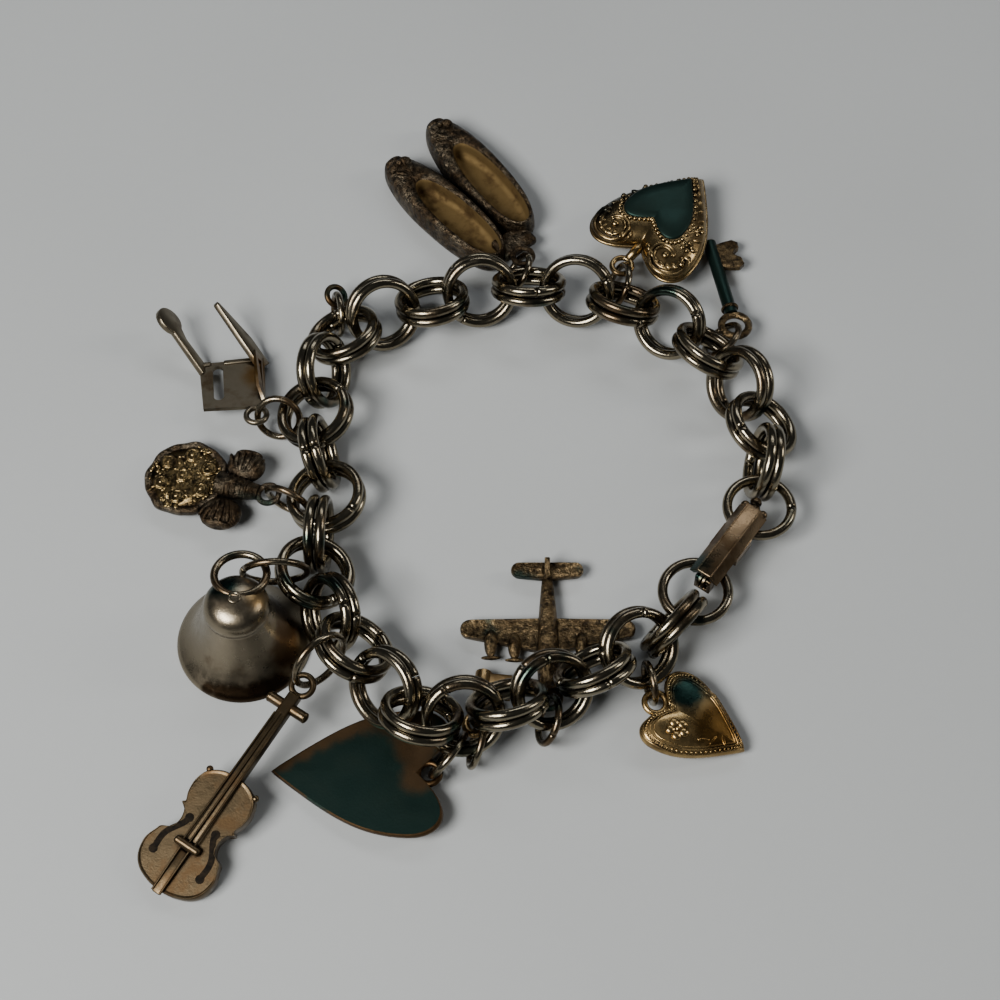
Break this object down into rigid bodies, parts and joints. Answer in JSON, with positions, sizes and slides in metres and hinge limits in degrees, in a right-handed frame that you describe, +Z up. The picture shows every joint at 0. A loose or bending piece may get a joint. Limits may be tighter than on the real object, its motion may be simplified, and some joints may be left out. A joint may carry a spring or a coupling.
{
  "type": "charm bracelet",
  "caption": "Charm bracelet: a closed chain of doubled round rings with a fold-over clasp and small metal charms on jump rings.",
  "frame": {"origin": "centre of the bounding box on the table that the bracelet lies on", "axes": "+Z up from the table; -Y towards the viewer of the picture; the clasp lies on the +X side"},
  "size_m": [0.076, 0.104, 0.0113],
  "materials": {
    "chain_steel": "polished round wire with brown tarnish",
    "clasp_bronze": "worn, bronze-toned sheet metal",
    "charm_silver": "polished white metal, darkened",
    "charm_gilt": "cast metal with golden brown tarnish",
    "charm_dark": "cast metal with dark tarnish"
  },
  "bodies": {
    "bracelet": {"airplane": "charm_gilt", "ball_drop": "charm_dark", "ballet_slippers": "charm_dark", "bell": "charm_silver", "bouquet": "charm_gilt", "chair": "charm_silver", "clasp_base": "clasp_bronze", "embossed_heart": "charm_gilt", "end_ring_clasp_side": "chain_steel", "end_ring_hinge_side": "chain_steel", "jump_ring_airplane": "chain_steel", "jump_ring_ball_drop": "chain_steel", "jump_ring_ballet_slippers": "chain_steel", "jump_ring_bell": "chain_steel", "jump_ring_bouquet": "chain_steel", "jump_ring_chair": "chain_steel", "jump_ring_embossed_heart": "chain_steel", "jump_ring_large_key": "chain_steel", "jump_ring_plain_heart": "chain_steel", "jump_ring_small_heart": "chain_steel", "jump_ring_small_key": "chain_steel", "jump_ring_violin": "chain_steel", "large_key": "charm_gilt", "link_01": "chain_steel", "link_02": "chain_steel", "link_03": "chain_steel", "link_04": "chain_steel", "link_05": "chain_steel", "link_06": "chain_steel", "link_07": "chain_steel", "link_08": "chain_steel", "link_09": "chain_steel", "link_10": "chain_steel", "link_11": "chain_steel", "link_12": "chain_steel", "link_13": "chain_steel", "link_14": "chain_steel", "link_15": "chain_steel", "link_16": "chain_steel", "link_17": "chain_steel", "link_18": "chain_steel", "link_19": "chain_steel", "link_20": "chain_steel", "link_21": "chain_steel", "link_22": "chain_steel", "link_23": "chain_steel", "link_24": "chain_steel", "link_25": "chain_steel", "link_26": "chain_steel", "link_27": "chain_steel", "link_28": "chain_steel", "plain_heart": "charm_dark", "small_heart": "charm_gilt", "small_key": "charm_gilt", "violin": "charm_gilt"},
    "clasp_lever": {"clasp_cover": "clasp_bronze"}
  },
  "joints": [
    {"name": "clasp_hinge", "type": "hinge", "parent": "bracelet", "child": "clasp_lever", "pos_m": [0.02609, -0.01561, 0.00382], "axis": [0.8107, -0.5855, 0], "range_deg": [0, 100]}
  ]
}
